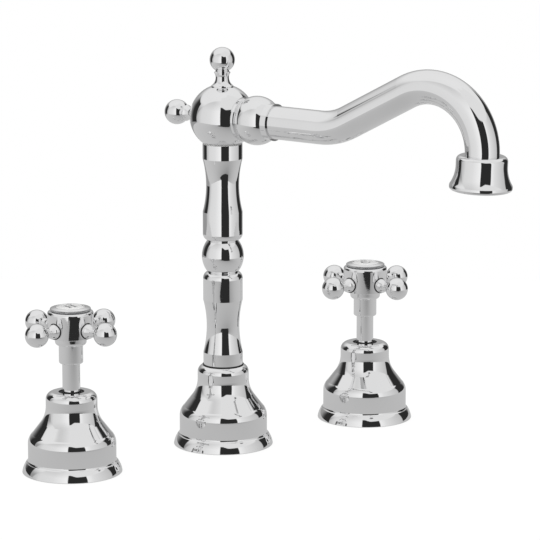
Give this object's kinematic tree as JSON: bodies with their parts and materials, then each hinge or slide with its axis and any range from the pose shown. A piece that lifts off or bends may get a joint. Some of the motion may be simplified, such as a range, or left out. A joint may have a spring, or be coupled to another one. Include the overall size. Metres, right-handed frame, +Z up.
{
  "type": "basin mixer tap",
  "caption": "Deck basin mixer in chrome: a curved swivel spout on a turned column with ball finials, between cross-handle valves on bell covers.",
  "frame": {"origin": "top of the deck, on the axis of the spout's column", "axes": "+Z up, +X towards the cold valve, -Y towards the user, where the spout points when centred"},
  "size_m": [0.2625, 0.2116, 0.3025],
  "materials": {
    "chrome": "polished chrome plate",
    "brass": "machined brass",
    "rubber": "moulded rubber",
    "seal": "foam rubber",
    "steel": "turned stainless steel",
    "ceramic": "lapped alumina",
    "porcelain": "glazed white",
    "ptfe": "skived PTFE",
    "plastic": "moulded plastic"
  },
  "bodies": {
    "fixed": {"spout_bell": "chrome", "spout_base_seal": "seal", "spout_shank": "brass", "spout_rubber_washer": "rubber", "spout_metal_washer": "steel", "spout_backnut": "brass", "mixing_tee": "brass", "column_lower": "chrome", "column_knop": "chrome", "column_upper": "chrome", "swivel_washer": "ptfe", "spout_grub_screw": "steel", "hot_valve_body": "brass", "hot_bell": "chrome", "hot_base_seal": "seal", "hot_rubber_washer": "rubber", "hot_metal_washer": "steel", "hot_locknut": "brass", "hot_bonnet": "brass", "hot_lip_seal": "rubber", "hot_fixed_disc": "ceramic", "cold_valve_body": "brass", "cold_bell": "chrome", "cold_base_seal": "seal", "cold_rubber_washer": "rubber", "cold_metal_washer": "steel", "cold_locknut": "brass", "cold_bonnet": "brass", "cold_lip_seal": "rubber", "cold_fixed_disc": "ceramic"},
    "spout": {"head_ball": "chrome", "spigot_rings": "rubber", "top_finial": "chrome", "rear_finial": "chrome", "spout_collar": "chrome", "spout_tube": "chrome", "outlet_cup": "chrome", "aerator": "plastic", "aerator_seal": "rubber"},
    "hot_handle": {"hot_spindle_ring": "rubber", "hot_hub": "chrome", "hot_arms": "chrome", "hot_moving_disc": "ceramic", "hot_spindle": "brass", "hot_stem": "chrome", "hot_handle_sleeve": "chrome", "hot_handle_screw": "steel", "hot_index_bezel": "chrome", "hot_index_disc": "porcelain"},
    "cold_handle": {"cold_spindle_ring": "rubber", "cold_hub": "chrome", "cold_arms": "chrome", "cold_moving_disc": "ceramic", "cold_spindle": "brass", "cold_stem": "chrome", "cold_handle_sleeve": "chrome", "cold_handle_screw": "steel", "cold_index_bezel": "chrome", "cold_index_disc": "porcelain"}
  },
  "joints": [
    {"name": "spout_swivel", "type": "hinge", "parent": "fixed", "child": "spout", "pos_m": [0, 0, 0.1678], "axis": [0, 0, 1], "range_deg": [-76, 44]},
    {"name": "hot_turn", "type": "hinge", "parent": "fixed", "child": "hot_handle", "pos_m": [-0.1, 0, 0.05], "axis": [0, 0, 1], "range_deg": [0, 90]},
    {"name": "cold_turn", "type": "hinge", "parent": "fixed", "child": "cold_handle", "pos_m": [0.1, 0, 0.05], "axis": [0, 0, 1], "range_deg": [-90, 0]}
  ]
}
